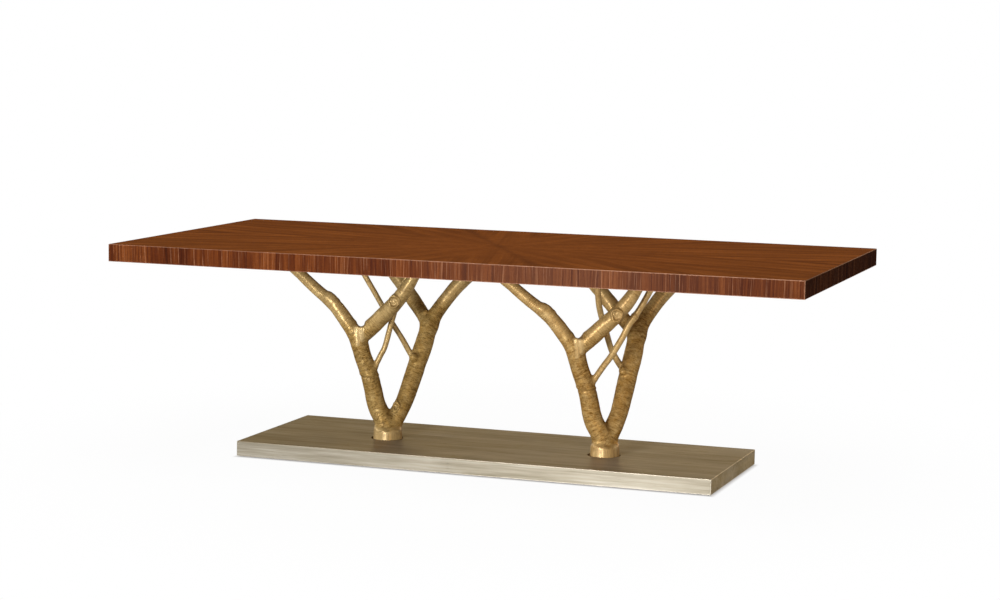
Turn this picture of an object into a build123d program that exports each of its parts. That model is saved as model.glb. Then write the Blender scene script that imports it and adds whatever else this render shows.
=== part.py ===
from build123d import *
import math
import os

# Rectangular dining table: a veneered box-core top on two cast branch pedestals, which stand
# in a low metal-clad plinth.  Millimetres.  The origin is on the floor under the centre of the
# top, +X runs along the table, +Y to its back and +Z up.

# ---- Driving dimensions -----------------------------------------------------------------

TABLE_LENGTH = 2438
TABLE_DEPTH = 1168
TABLE_HEIGHT = 762
TOP_THICKNESS = 60

PLINTH_LENGTH = 1727
PLINTH_DEPTH = 610
PLINTH_TOP = 56                 # floor to the top face of the plinth

# Table top
VENEER = 0.7
UPPER_PANEL = 12
LOWER_PANEL = 18
EDGE_BAND = 2                   # thick sawn veneer round the edge, its grain upright
ARRIS = 1.5                     # rounding of the band's outer edges
LEAF_COUNT = 12                 # leaves of the sunburst face
RAIL_WIDTH = 60
LONG_RIB_OFFSETS = (-190, 190)
CROSS_RIB_COUNT = 7
RIB_WIDTH = 22

# Plinth
GLIDE_HEIGHT = 4
GLIDE_RADIUS = 20
COVER_SHEET = 1.5
COVER_ARRIS = 1.4
DECK_PANEL = 12
BOTTOM_PANEL = 9
PLINTH_RAIL_WIDTH = 32
BALLAST_LENGTH = 560
BALLAST_DEPTH = 500
BALLAST_THICKNESS = 12
COLLAR_HOLE_RADIUS = 58
ACCESS_HOLE_RADIUS = 22

# Pedestals: the left one stands square; the right one is the same casting, turned a little
# and trimmed a little longer at its foot
FOOT_X = 406
FOOT_Y = -21
RIGHT_TURN = 12                 # degrees, anticlockwise from above
RIGHT_LIFT = 9
COLLAR_RADIUS = 50
COLLAR_HEIGHT = 36              # above the plinth
TIE_ROD_RADIUS = 8
TIE_ROD_IN_COLLAR = 34
NUT_ACROSS_FLATS = 24
NUT_HEIGHT = 13
WASHER_RADIUS = 26
WASHER_THICKNESS = 3
PAD_RADIUS = 50
PAD_THICKNESS = 5
PAD_SCREW_CIRCLE = 38
PAD_SCREWS = 3

# Fasteners
SCREW_RADIUS = 3
SCREW_HEAD_RADIUS = 6
SCREW_HEAD_HEIGHT = 3
PAD_SCREW_LENGTH = 16
INSERT_RADIUS = 5
INSERT_LENGTH = 12
WOOD_SCREW_RADIUS = 2
WOOD_SCREW_HEAD_RADIUS = 4
WOOD_SCREW_HEAD_HEIGHT = 2
GLIDE_SCREW_LENGTH = 11
PANEL_SCREW_LENGTH = 26

# ---- Limbs of the casting ---------------------------------------------------------------
# Each station is (x, y, z, radius); x and y are measured from the foot's centre, z from the floor
# before the casting is lifted.

FRONT_LIMB = [
    (0, 3, 74, 37), (-14, 0, 120, 35), (-43, -4, 180, 32), (-61, -14, 270, 32),
    (-88, -22, 350, 31), (-109, -29, 420, 31), (-146, -34, 471, 26), (-195, -36, 528, 24.5),
    (-275, -35, 589, 20.5), (-359, -32, 657, 20), (-427, -30, 714, 19.5),
]
FRONT_FORK = 5                  # the station where the outer branch leaves the front stem

KNOTTED_BRANCH = [
    (-105, -24, 410, 27), (-72, -22, 441, 30), (-31, -25, 479, 29.5), (29, -35, 537, 28),
    (73, -40, 588, 25.5), (111, -39, 649, 21), (143, -38, 714, 20.5),
]

REAR_LIMB = [
    (6, 8, 74, 31), (17, 22, 116, 32), (42, 51, 180, 31), (61, 90, 270, 33),
    (79, 127, 360, 32), (95, 162, 448, 31), (114, 183, 496, 27), (143, 199, 541, 26),
    (181, 214, 592, 26), (235, 231, 648, 26), (297, 249, 714, 25.5),
]
REAR_FORK = 5                   # the station where the rear right branch leaves the rear stem

REAR_LEFT_BRANCH = [
    (95, 163, 446, 26), (52, 194, 489, 25.5), (0, 216, 543, 26.5), (-43, 222, 593, 25.5),
    (-94, 227, 652, 24.5), (-146, 232, 714, 24),
]

TWIG = 10                       # radius of the thin twigs on the left pedestal
STOUT_TWIG = 11                 # and on the right one

LEFT_FRONT_TWIG = [
    (-66, -17, 280, TWIG), (-43, -13, 316, TWIG), (-27, -6, 352, TWIG), (-11, 0, 389, TWIG),
    (6, 21, 481, TWIG), (29, 33, 569, TWIG), (52, 40, 640, TWIG), (75, 46, 714, TWIG),
]
LEFT_REAR_TWIG = [
    (63, 98, 329, TWIG), (43, 101, 354, TWIG), (20, 84, 404, TWIG), (-4, 66, 450, TWIG),
    (-27, 59, 489, TWIG), (-70, 44, 568, TWIG), (-107, 32, 634, TWIG), (-147, 19, 714, TWIG),
]
RIGHT_FRONT_TWIG = [
    (-66, -18, 276, STOUT_TWIG), (-40, -17, 308, STOUT_TWIG), (-28, -15, 328, STOUT_TWIG),
    (-4, -7, 364, STOUT_TWIG), (18, 1, 395, STOUT_TWIG), (53, 11, 456, STOUT_TWIG),
    (79, 17, 509, STOUT_TWIG), (110, 19, 556, STOUT_TWIG), (140, 21, 612, STOUT_TWIG),
    (190, 22, 714, STOUT_TWIG),
]
RIGHT_REAR_TWIG = [
    (62, 104, 330, STOUT_TWIG), (46, 109, 340, STOUT_TWIG), (21, 102, 379, STOUT_TWIG),
    (7, 92, 411, STOUT_TWIG), (-6, 84, 455, STOUT_TWIG), (-26, 75, 522, STOUT_TWIG),
    (-35, 68, 566, STOUT_TWIG), (-39, 57, 620, STOUT_TWIG), (-42, 48, 714, STOUT_TWIG),
]

# Stubs of pruned shoots: a point inside the limb, the middle of the cut face, and the radius
STUBS = {
    "front": [((-205, -38, 540), (-197, -41, 565), 12)],
    "knotted": [((37, -36, 546), (45, -62, 549), 23)],
    "rear": [((72, 118, 326), (62, 84, 330), 17), ((40, 50, 172), (24, 12, 172), 14)],
}
STUB_EASING = 5                 # rounding of a stub's rim

# ---- Levels worked out from the dimensions ------------------------------------------------

TOP_UNDERSIDE = TABLE_HEIGHT - TOP_THICKNESS
UPPER_PANEL_TOP = TABLE_HEIGHT - VENEER
UPPER_PANEL_BASE = UPPER_PANEL_TOP - UPPER_PANEL
LOWER_PANEL_BASE = TOP_UNDERSIDE + VENEER
LOWER_PANEL_TOP = LOWER_PANEL_BASE + LOWER_PANEL
CORE_LENGTH = TABLE_LENGTH - 2 * EDGE_BAND
CORE_DEPTH = TABLE_DEPTH - 2 * EDGE_BAND

BOTTOM_PANEL_TOP = GLIDE_HEIGHT + BOTTOM_PANEL
DECK_TOP = PLINTH_TOP - COVER_SHEET
DECK_BASE = DECK_TOP - DECK_PANEL
BALLAST_BASE = DECK_BASE - BALLAST_THICKNESS
PLINTH_CORE_LENGTH = PLINTH_LENGTH - 2 * COVER_SHEET
PLINTH_CORE_DEPTH = PLINTH_DEPTH - 2 * COVER_SHEET
COLLAR_TOP = PLINTH_TOP + COLLAR_HEIGHT


# ---- Helpers ----------------------------------------------------------------------------

def block(x_size, y_size, z_low, z_high, x=0, y=0):
    """Upright box between two heights, centred on (x, y)."""
    low_centre = (Align.CENTER, Align.CENTER, Align.MIN)
    return Pos(x, y, z_low) * Box(x_size, y_size, z_high - z_low, align=low_centre)


def disc(radius, z_low, z_high, x=0, y=0):
    """Upright cylinder between two heights, centred on (x, y)."""
    low_centre = (Align.CENTER, Align.CENTER, Align.MIN)
    return Pos(x, y, z_low) * Cylinder(radius, z_high - z_low, align=low_centre)


def prism(corners, z_low, z_high):
    """Upright prism over a polygon given by its corners."""
    outline = Plane.XY.offset(z_low) * make_face(Polyline(*corners, close=True))
    return extrude(outline, z_high - z_low)


def largest_solid(shape):
    """The biggest solid of a cut shape, without the crumbs that a cut can leave."""
    return max(shape.solids(), key=lambda solid: solid.volume)


def join(shapes):
    """Several separate solids as one group."""
    return Compound(children=[solid for shape in shapes for solid in shape.solids()])


def write(node, shape):
    """Save one node's shape."""
    export_step(shape, os.path.join("parts", node + ".step"))


def countersunk_screw(radius, head_radius, head_height, length):
    """Screw pointing up, the flat of its head at z = 0."""
    head = Pos(0, 0, head_height / 2) * Cone(head_radius, radius, head_height)
    return head + disc(radius, head_height, length)


# ---- Table top --------------------------------------------------------------------------

def veneer_leaf(index):
    """One wedge of the sunburst face: all leaves meet at the centre of the top."""
    reach = TABLE_LENGTH
    span = math.radians(360 / LEAF_COUNT)
    corners = [(0, 0)]
    for angle in (index * span, (index + 1) * span):
        corners.append((reach * math.cos(angle), reach * math.sin(angle)))
    wedge = prism(corners, UPPER_PANEL_TOP, TABLE_HEIGHT)
    return wedge & block(CORE_LENGTH, CORE_DEPTH, UPPER_PANEL_TOP, TABLE_HEIGHT)


def mitred_frame(length, depth, inset, z_low, z_high):
    """Four mitred prisms that frame a rectangle, as front, right, back and left."""
    x_out, y_out = length / 2, depth / 2
    x_in, y_in = x_out - inset, y_out - inset
    outer = [(-x_out, -y_out), (x_out, -y_out), (x_out, y_out), (-x_out, y_out)]
    inner = [(-x_in, -y_in), (x_in, -y_in), (x_in, y_in), (-x_in, y_in)]
    sides = []
    for side in range(4):
        following = (side + 1) % 4
        corners = [outer[side], outer[following], inner[following], inner[side]]
        sides.append(prism(corners, z_low, z_high))
    return sides


def edge_bands():
    """Upright-grain edge veneers with eased outer edges, mitred at the corners."""
    slab = block(TABLE_LENGTH, TABLE_DEPTH, TOP_UNDERSIDE, TABLE_HEIGHT)
    slab = fillet(slab.edges(), ARRIS)
    mitres = mitred_frame(TABLE_LENGTH, TABLE_DEPTH, EDGE_BAND, TOP_UNDERSIDE, TABLE_HEIGHT)
    return [slab & mitre for mitre in mitres]


def core_ribs():
    """Full-length ribs, and short cross ribs that fill each bay between them."""
    x_inside = CORE_LENGTH / 2 - RAIL_WIDTH
    y_inside = CORE_DEPTH / 2 - RAIL_WIDTH
    long_ribs = []
    for y in LONG_RIB_OFFSETS:
        long_ribs.append(block(2 * x_inside, RIB_WIDTH, LOWER_PANEL_TOP, UPPER_PANEL_BASE, y=y))
    bay_edges = [-y_inside]
    for y in LONG_RIB_OFFSETS:
        bay_edges += [y - RIB_WIDTH / 2, y + RIB_WIDTH / 2]
    bay_edges.append(y_inside)
    spacing = 2 * x_inside / (CROSS_RIB_COUNT + 1)
    cross_ribs = []
    for row in range(CROSS_RIB_COUNT):
        x = -x_inside + (row + 1) * spacing
        for low, high in zip(bay_edges[0::2], bay_edges[1::2]):
            middle = (low + high) / 2
            cross_ribs.append(
                block(RIB_WIDTH, high - low, LOWER_PANEL_TOP, UPPER_PANEL_BASE, x, middle))
    return long_ribs, cross_ribs


# ---- Pedestal castings ------------------------------------------------------------------

def limb(stations):
    """Round limb skinned over circles that stand square to its centre line."""
    centres = [Vector(x, y, z) for x, y, z, _ in stations]
    circles = []
    for index, (centre, station) in enumerate(zip(centres, stations)):
        before = centres[max(index - 1, 0)]
        after = centres[min(index + 1, len(centres) - 1)]
        along = (after - before).normalized()
        across = Vector(0, 1, 0).cross(along).normalized()
        circles.append(Plane(centre, x_dir=across, z_dir=along) * Circle(station[3]))
    return loft(circles)


def pruned_stub(inside, face_middle, radius):
    """Short round stub with an eased rim, square to the line from the limb to its cut face."""
    start, end = Vector(*inside), Vector(*face_middle)
    length = (end - start).length
    stub = extrude(Plane(start, z_dir=(end - start).normalized()) * Circle(radius), length)
    rim = stub.edges().filter_by(GeomType.CIRCLE).sort_by_distance(end)[0]
    return fillet(rim, STUB_EASING)


def fork_plane(stations, index):
    """Plane square to the limb at one of its stations."""
    before, here, after = (Vector(*stations[index + step][:3]) for step in (-1, 0, 1))
    return Plane(here, z_dir=(after - before).normalized())


def lifted(stations, lift):
    """The same stations, all higher by one amount."""
    return [(x, y, z + lift, radius) for x, y, z, radius in stations]


def head_point(stations):
    """Where a limb's centre line meets the underside of the top."""
    low, high = stations[-2], stations[-1]
    share = (TOP_UNDERSIDE - low[2]) / (high[2] - low[2])
    return tuple(low[axis] + share * (high[axis] - low[axis]) for axis in (0, 1))


def collar():
    """Cast foot ring that stands in the plinth's hole, bored from below for the tie rod."""
    profile = Polyline(
        (0, DECK_BASE), (COLLAR_RADIUS - 3, DECK_BASE), (COLLAR_RADIUS - 1, PLINTH_TOP),
        (COLLAR_RADIUS, PLINTH_TOP + COLLAR_HEIGHT / 3), (COLLAR_RADIUS - 2, COLLAR_TOP - 6),
        (COLLAR_RADIUS - 8, COLLAR_TOP), (0, COLLAR_TOP), close=True)
    turned = revolve(Plane.XZ * make_face(profile), Axis.Z)
    return turned - disc(TIE_ROD_RADIUS, DECK_BASE, DECK_BASE + TIE_ROD_IN_COLLAR)


def trimmed_limb(stations, neighbours, stubs=()):
    """Limb with its stubs, ended flat at the top's underside and fitted against its neighbours."""
    shape = limb(stations) & block(TABLE_DEPTH, TABLE_DEPTH, 0, TOP_UNDERSIDE)
    for stub in stubs:
        shape += stub
    for neighbour in neighbours:
        shape -= neighbour
    return shape


def casting(side):
    """All limbs of one pedestal about its foot, each cut to fit against those before it."""
    lift = LIFTS[side]
    front_stations = lifted(FRONT_LIMB, lift)
    rear_stations = lifted(REAR_LIMB, lift)
    front_twig_stations, rear_twig_stations = TWIGS[side]
    front_cut = fork_plane(front_stations, FRONT_FORK)
    rear_cut = fork_plane(rear_stations, REAR_FORK)
    stubs = {limb_name: [Pos(0, 0, lift) * pruned_stub(*stub) for stub in limb_stubs]
             for limb_name, limb_stubs in STUBS.items()}
    foot = collar()
    front = trimmed_limb(front_stations, [foot], stubs["front"])
    rear = trimmed_limb(rear_stations, [foot, front], stubs["rear"])
    knotted = trimmed_limb(lifted(KNOTTED_BRANCH, lift), [front], stubs["knotted"])
    rear_left = trimmed_limb(lifted(REAR_LEFT_BRANCH, lift), [rear])
    front_twig = trimmed_limb(lifted(front_twig_stations, lift), [front, knotted])
    rear_twig = trimmed_limb(lifted(rear_twig_stations, lift), [rear, knotted, rear_left])
    limbs = {
        "collar": foot,
        "front_stem": split(front, front_cut, keep=Keep.BOTTOM),
        "outer_branch": split(front, front_cut, keep=Keep.TOP),
        "knotted_branch": knotted,
        "rear_stem": split(rear, rear_cut, keep=Keep.BOTTOM),
        "rear_right_branch": split(rear, rear_cut, keep=Keep.TOP),
        "rear_left_branch": rear_left,
        "front_twig": front_twig,
        "rear_twig": rear_twig,
    }
    return {name: largest_solid(shape) for name, shape in limbs.items()}


def pad_centres(side):
    """Centres of the fixing pads at one pedestal's four limb heads, about its foot."""
    limbs = (FRONT_LIMB, KNOTTED_BRANCH, REAR_LIMB, REAR_LEFT_BRANCH)
    return [head_point(lifted(stations, LIFTS[side])) for stations in limbs]


def pad_screw_places(side):
    """Centres of the screws in every pad of one pedestal, about its foot."""
    places = []
    for x, y in pad_centres(side):
        for turn in range(PAD_SCREWS):
            angle = math.radians(90 + turn * 360 / PAD_SCREWS)
            places.append((x + PAD_SCREW_CIRCLE * math.cos(angle),
                           y + PAD_SCREW_CIRCLE * math.sin(angle)))
    return places


def pad_discs(side):
    """Plain fixing pads of one pedestal, in place."""
    pad_top = TOP_UNDERSIDE + PAD_THICKNESS
    return [FEET[side] * disc(PAD_RADIUS, TOP_UNDERSIDE, pad_top, x, y)
            for x, y in pad_centres(side)]


def pad_screws(side):
    """Countersunk machine screws that come up through one pedestal's pads, in place."""
    screw = countersunk_screw(SCREW_RADIUS, SCREW_HEAD_RADIUS, SCREW_HEAD_HEIGHT, PAD_SCREW_LENGTH)
    return [FEET[side] * Pos(x, y, TOP_UNDERSIDE) * screw for x, y in pad_screw_places(side)]


def insert_plugs(side):
    """Solid cylinders where one pedestal's threaded inserts sit, in place."""
    base = TOP_UNDERSIDE + PAD_THICKNESS
    return [FEET[side] * disc(INSERT_RADIUS, base, base + INSERT_LENGTH, x, y)
            for x, y in pad_screw_places(side)]


def at_feet(shape_about_foot):
    """Copies of a shape at the left and the right pedestal."""
    return [place * shape_about_foot for place in FEET.values()]


# ---- Plinth -----------------------------------------------------------------------------

def plinth_cover():
    """Brushed sheet cover, open below, with a round hole for each collar."""
    cover = block(PLINTH_LENGTH, PLINTH_DEPTH, GLIDE_HEIGHT, PLINTH_TOP)
    outside_edges = cover.edges().filter_by(Axis.Z) + cover.edges().group_by(Axis.Z)[-1]
    cover = fillet(outside_edges, COVER_ARRIS)
    cover -= block(PLINTH_CORE_LENGTH, PLINTH_CORE_DEPTH, GLIDE_HEIGHT, DECK_TOP)
    for hole in at_feet(disc(COLLAR_HOLE_RADIUS, DECK_TOP, PLINTH_TOP)):
        cover -= hole
    return cover


def glide_places():
    """Glides at the corners and halfway along both long sides."""
    x = PLINTH_LENGTH / 2 - 45
    y = PLINTH_DEPTH / 2 - 45
    return [(column * x, row * y) for column in (-1, 0, 1) for row in (-1, 1)]


def panel_screw_places():
    """Bottom-panel screws along the middle of the long rails."""
    y = PLINTH_CORE_DEPTH / 2 - PLINTH_RAIL_WIDTH / 2
    spacing = PLINTH_CORE_LENGTH / 6
    return [(column * spacing, row * y) for column in (-2.5, -1.5, -0.5, 0.5, 1.5, 2.5)
            for row in (-1, 1)]


def wood_screws(places, z_head, length):
    """A row of upright wood screws with their heads at one height."""
    screw = countersunk_screw(
        WOOD_SCREW_RADIUS, WOOD_SCREW_HEAD_RADIUS, WOOD_SCREW_HEAD_HEIGHT, length)
    return [Pos(x, y, z_head) * screw for x, y in places]


# ---- Build and write every node ---------------------------------------------------------

FEET = {
    "left": Pos(-FOOT_X, FOOT_Y, 0),
    "right": Pos(FOOT_X, FOOT_Y, 0) * Rot(0, 0, RIGHT_TURN),
}
LIFTS = {"left": 0, "right": RIGHT_LIFT}
TWIGS = {
    "left": (LEFT_FRONT_TWIG, LEFT_REAR_TWIG),
    "right": (RIGHT_FRONT_TWIG, RIGHT_REAR_TWIG),
}
SIDES = ("front", "right", "back", "left")

os.makedirs("parts", exist_ok=True)

# Table top
for index in range(LEAF_COUNT):
    write(f"top_veneer_leaf_{index + 1:02d}", veneer_leaf(index))
for side, band in zip(SIDES, edge_bands()):
    write(f"top_edge_band_{side}", band)
rails = mitred_frame(CORE_LENGTH, CORE_DEPTH, RAIL_WIDTH, LOWER_PANEL_TOP, UPPER_PANEL_BASE)
for side, rail in zip(SIDES, rails):
    write(f"top_rail_{side}", rail)
long_rib_row, cross_rib_row = core_ribs()
write("top_long_ribs", join(long_rib_row))
write("top_cross_ribs", join(cross_rib_row))
write("top_upper_panel", block(CORE_LENGTH, CORE_DEPTH, UPPER_PANEL_BASE, UPPER_PANEL_TOP))

pad_pockets = pad_discs("left") + pad_discs("right")
insert_holes = insert_plugs("left") + insert_plugs("right")
screws = pad_screws("left") + pad_screws("right")
lower_panel = block(CORE_LENGTH, CORE_DEPTH, LOWER_PANEL_BASE, LOWER_PANEL_TOP)
backing = block(CORE_LENGTH, CORE_DEPTH, TOP_UNDERSIDE, LOWER_PANEL_BASE)
write("top_lower_panel", lower_panel - pad_pockets - insert_holes)
write("top_backing_veneer", backing - pad_pockets)
write("threaded_inserts", join([hole - screw for hole, screw in zip(insert_holes, screws)]))
write("pad_screws", join(screws))

# Pedestals
for side, place in FEET.items():
    for limb_name, shape in casting(side).items():
        write(f"{side}_{limb_name}", place * shape)
    write(f"{side}_fixing_pads", join([pad - pad_screws(side) for pad in pad_discs(side)]))

washer_top = BALLAST_BASE
nut_top = washer_top - WASHER_THICKNESS
nut_base = nut_top - NUT_HEIGHT
tie_rod = disc(TIE_ROD_RADIUS, nut_base, DECK_BASE + TIE_ROD_IN_COLLAR)
washer = disc(WASHER_RADIUS, nut_top, washer_top) - tie_rod
nut_outline = RegularPolygon(NUT_ACROSS_FLATS / 2, 6, major_radius=False)
nut = extrude(Plane.XY.offset(nut_base) * nut_outline, NUT_HEIGHT) - tie_rod
write("foot_tie_rods", join(at_feet(tie_rod)))
write("foot_washers", join(at_feet(washer)))
write("foot_nuts", join(at_feet(nut)))

# Plinth
collar_holes = at_feet(disc(COLLAR_HOLE_RADIUS, DECK_BASE, DECK_TOP))
access_holes = at_feet(disc(ACCESS_HOLE_RADIUS, GLIDE_HEIGHT, BOTTOM_PANEL_TOP))
write("plinth_cover", plinth_cover())
deck = block(PLINTH_CORE_LENGTH, PLINTH_CORE_DEPTH, DECK_BASE, DECK_TOP)
write("plinth_deck_panel", deck - collar_holes)
for side, x in (("left", -FOOT_X), ("right", FOOT_X)):
    plate = block(BALLAST_LENGTH, BALLAST_DEPTH, BALLAST_BASE, DECK_BASE, x)
    write(f"{side}_ballast_plate", plate - at_feet(tie_rod))

glide_screws = wood_screws(glide_places(), 0, GLIDE_SCREW_LENGTH)
panel_screws = wood_screws(panel_screw_places(), GLIDE_HEIGHT, PANEL_SCREW_LENGTH)
rail_y = PLINTH_CORE_DEPTH / 2 - PLINTH_RAIL_WIDTH / 2
long_rails = [block(PLINTH_CORE_LENGTH, PLINTH_RAIL_WIDTH, BOTTOM_PANEL_TOP, DECK_BASE, y=y)
              for y in (-rail_y, rail_y)]
cross_length = PLINTH_CORE_DEPTH - 2 * PLINTH_RAIL_WIDTH
cross_x = PLINTH_CORE_LENGTH / 2 - PLINTH_RAIL_WIDTH / 2
cross_rails = [block(PLINTH_RAIL_WIDTH, cross_length, BOTTOM_PANEL_TOP, DECK_BASE, x)
               for x in (-cross_x, 0, cross_x)]
bottom_panel = block(PLINTH_CORE_LENGTH, PLINTH_CORE_DEPTH, GLIDE_HEIGHT, BOTTOM_PANEL_TOP)
glides = [disc(GLIDE_RADIUS, 0, GLIDE_HEIGHT, x, y) for x, y in glide_places()]
write("plinth_long_rails", join([rail - panel_screws for rail in long_rails]))
write("plinth_cross_rails", join(cross_rails))
write("plinth_bottom_panel", bottom_panel - access_holes - glide_screws - panel_screws)
write("plinth_glides", join([glide - glide_screws for glide in glides]))
write("glide_screws", join(glide_screws))
write("bottom_panel_screws", join(panel_screws))
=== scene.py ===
import math

import bpy
import numpy as np
from mathutils import Matrix, Vector


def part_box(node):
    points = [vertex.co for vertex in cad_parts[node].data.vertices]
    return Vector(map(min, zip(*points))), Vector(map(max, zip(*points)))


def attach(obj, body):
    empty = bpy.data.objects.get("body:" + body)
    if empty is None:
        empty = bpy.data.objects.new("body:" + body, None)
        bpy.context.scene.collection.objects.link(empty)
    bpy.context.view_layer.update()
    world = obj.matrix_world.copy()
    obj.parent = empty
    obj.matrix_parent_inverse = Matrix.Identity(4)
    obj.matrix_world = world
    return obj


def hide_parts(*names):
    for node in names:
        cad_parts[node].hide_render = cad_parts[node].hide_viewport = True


# Looks of the branch-pedestal dining table.  Metres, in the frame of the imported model: the
# origin is on the floor under the centre of the top, +X along the table, +Y to its back.

MM = 0.001

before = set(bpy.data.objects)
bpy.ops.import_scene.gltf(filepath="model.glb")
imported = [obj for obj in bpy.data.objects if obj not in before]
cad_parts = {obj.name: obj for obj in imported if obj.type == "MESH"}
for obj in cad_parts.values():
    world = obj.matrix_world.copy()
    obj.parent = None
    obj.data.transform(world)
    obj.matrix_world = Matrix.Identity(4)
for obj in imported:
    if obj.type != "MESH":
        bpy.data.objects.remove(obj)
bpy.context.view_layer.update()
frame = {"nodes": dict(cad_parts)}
nodes = frame["nodes"]

# ---- Places taken from the frame ----------------------------------------------------------

SLAB_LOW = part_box("top_edge_band_front")[0]
SLAB_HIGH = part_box("top_edge_band_right")[1]
UNDERSIDE = SLAB_LOW.z
TOP_HALF = tuple((SLAB_HIGH - SLAB_LOW) / 2)
TOP_MIDDLE = (SLAB_LOW.z + SLAB_HIGH.z) / 2
PLINTH_LOW, PLINTH_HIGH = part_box("plinth_cover")
PLINTH_HALF = tuple((PLINTH_HIGH - PLINTH_LOW) / 2)
PLINTH_MIDDLE = (PLINTH_LOW.z + PLINTH_HIGH.z) / 2
SIDES = ("left", "right")


def collar_centre(side):
    """Centre of one pedestal's collar, seen from above."""
    low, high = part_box(f"{side}_collar")
    return (low + high) / 2


FOOT = {side: collar_centre(side) for side in SIDES}
COLLAR_BASE, COLLAR_TOP = (corner.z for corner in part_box("left_collar"))
# The right casting stands turned, anticlockwise from above, and a little higher than the left.
TURN = {"left": 0.0, "right": math.radians(12)}
LIFT = {"left": 0.0, "right": 9 * MM}

# ---- Limbs of the casting -------------------------------------------------------------------
# Stations are (x, y, z, radius) in millimetres, from the foot's centre and the floor.

FRONT_LIMB = [
    (0, 3, 74, 37), (-14, 0, 120, 35), (-43, -4, 180, 32), (-61, -14, 270, 32),
    (-88, -22, 350, 31), (-109, -29, 420, 31), (-146, -34, 471, 26), (-195, -36, 528, 24.5),
    (-275, -35, 589, 20.5), (-359, -32, 657, 20), (-427, -30, 714, 19.5),
]
KNOTTED_BRANCH = [
    (-105, -24, 410, 27), (-72, -22, 441, 30), (-31, -25, 479, 29.5), (29, -35, 537, 28),
    (73, -40, 588, 25.5), (111, -39, 649, 21), (143, -38, 714, 20.5),
]
REAR_LIMB = [
    (6, 8, 74, 31), (17, 22, 116, 32), (42, 51, 180, 31), (61, 90, 270, 33),
    (79, 127, 360, 32), (95, 162, 448, 31), (114, 183, 496, 27), (143, 199, 541, 26),
    (181, 214, 592, 26), (235, 231, 648, 26), (297, 249, 714, 25.5),
]
REAR_LEFT_BRANCH = [
    (95, 163, 446, 26), (52, 194, 489, 25.5), (0, 216, 543, 26.5), (-43, 222, 593, 25.5),
    (-94, 227, 652, 24.5), (-146, 232, 714, 24),
]
TWIG = 10
STOUT_TWIG = 11
FRONT_TWIG = {
    "left": [
        (-66, -17, 280, TWIG), (-43, -13, 316, TWIG), (-27, -6, 352, TWIG), (-11, 0, 389, TWIG),
        (6, 21, 481, TWIG), (29, 33, 569, TWIG), (52, 40, 640, TWIG), (75, 46, 714, TWIG),
    ],
    "right": [
        (-66, -18, 276, STOUT_TWIG), (-40, -17, 308, STOUT_TWIG), (-28, -15, 328, STOUT_TWIG),
        (-4, -7, 364, STOUT_TWIG), (18, 1, 395, STOUT_TWIG), (53, 11, 456, STOUT_TWIG),
        (79, 17, 509, STOUT_TWIG), (110, 19, 556, STOUT_TWIG), (140, 21, 612, STOUT_TWIG),
        (190, 22, 714, STOUT_TWIG),
    ],
}
REAR_TWIG = {
    "left": [
        (63, 98, 329, TWIG), (43, 101, 354, TWIG), (20, 84, 404, TWIG), (-4, 66, 450, TWIG),
        (-27, 59, 489, TWIG), (-70, 44, 568, TWIG), (-107, 32, 634, TWIG), (-147, 19, 714, TWIG),
    ],
    "right": [
        (62, 104, 330, STOUT_TWIG), (46, 109, 340, STOUT_TWIG), (21, 102, 379, STOUT_TWIG),
        (7, 92, 411, STOUT_TWIG), (-6, 84, 455, STOUT_TWIG), (-26, 75, 522, STOUT_TWIG),
        (-35, 68, 566, STOUT_TWIG), (-39, 57, 620, STOUT_TWIG), (-42, 48, 714, STOUT_TWIG),
    ],
}

# How far two skins melt into each other where they meet, in metres.
STEM_MELT = 0.012
FRONT_FORK_MELT = 0.007
REAR_FORK_MELT = 0.018
TWIG_MELT = 0.008
NOTCH_MELT = 0.006
KNOT_MELT = 0.005
CALLUS_MELT = 0.003
COLLAR_MELT = 0.018

# Swellings: start point, end point, radius at each and melt, in millimetres about the foot.
SHARED_BUMPS = [
    ((-216, -38, 556), (-190, -40, 540), 20, 17, 9),       # broken-off shoot, outer branch
    ((-203, -42, 557), (-200, -43, 558), 10, 8, 9),        # and its tip
    ((78, 172, 489), (76, 163, 495), 12, 9, 7),            # bud in front of the rear fork
    ((-62, -20, 296), (-46, -14, 312), 20, 12, 9),         # swelling under the front twig
]
DRIPS = [
    ((-99, -49, 452), (-95, -51, 396), 8.5, 5, 6),         # runs of metal below the front fork
    ((-83, -47, 450), (-82, -47, 411), 8, 5, 6),
]
KNUCKLE = {                                                # ball at the foot of the rear twig
    "left": ((72, 112, 336), (67, 80, 340), 19, 15.5, 9),
    "right": ((67, 112, 330), (54, 84, 330), 18, 15, 9),
}
TWIG_JOINT = ((87, 17, 521), (94, 17, 531), 12.5, 14, 4)   # swelling, long right twig
BUMPS = {
    "left": [*SHARED_BUMPS, *DRIPS, KNUCKLE["left"]],
    "right": [*SHARED_BUMPS, *DRIPS, KNUCKLE["right"], TWIG_JOINT],
}
FORK_NOTCH = ((-116, 32, 468), (-76, -81, 468), 13, 13)    # widens the bottom of the front fork

# Pruned knots: centre of the cut face, the way it faces, half width, half height, half depth.
KNOTS = {
    "left": [((48, -69, 556), (0.25, -0.96, -0.05), 21, 24, 24),
             ((29, 9, 169), (0.02, -0.93, 0.36), 13, 20, 18)],
    "right": [((40, -70, 545), (0.15, -0.98, -0.05), 21, 24, 24)],
}

# Rings that grew on the front stem: height of the middle and width, in metres.
GROWTH_RING = (0.284, 3.5 * MM)
GROOVE_UNDER_RING = (0.275, 4 * MM)
GROWTH_RING_DEPTH = 1.3 * MM

COLLAR_RADIUS = 51.5 * MM          # at the base of the ring that shows
COLLAR_NARROWING = 5.5 * MM
COLLAR_FOOT_RADIUS = 48 * MM
COLLAR_SUNK = 12 * MM              # how far the ring that shows starts under the plinth's top

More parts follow.
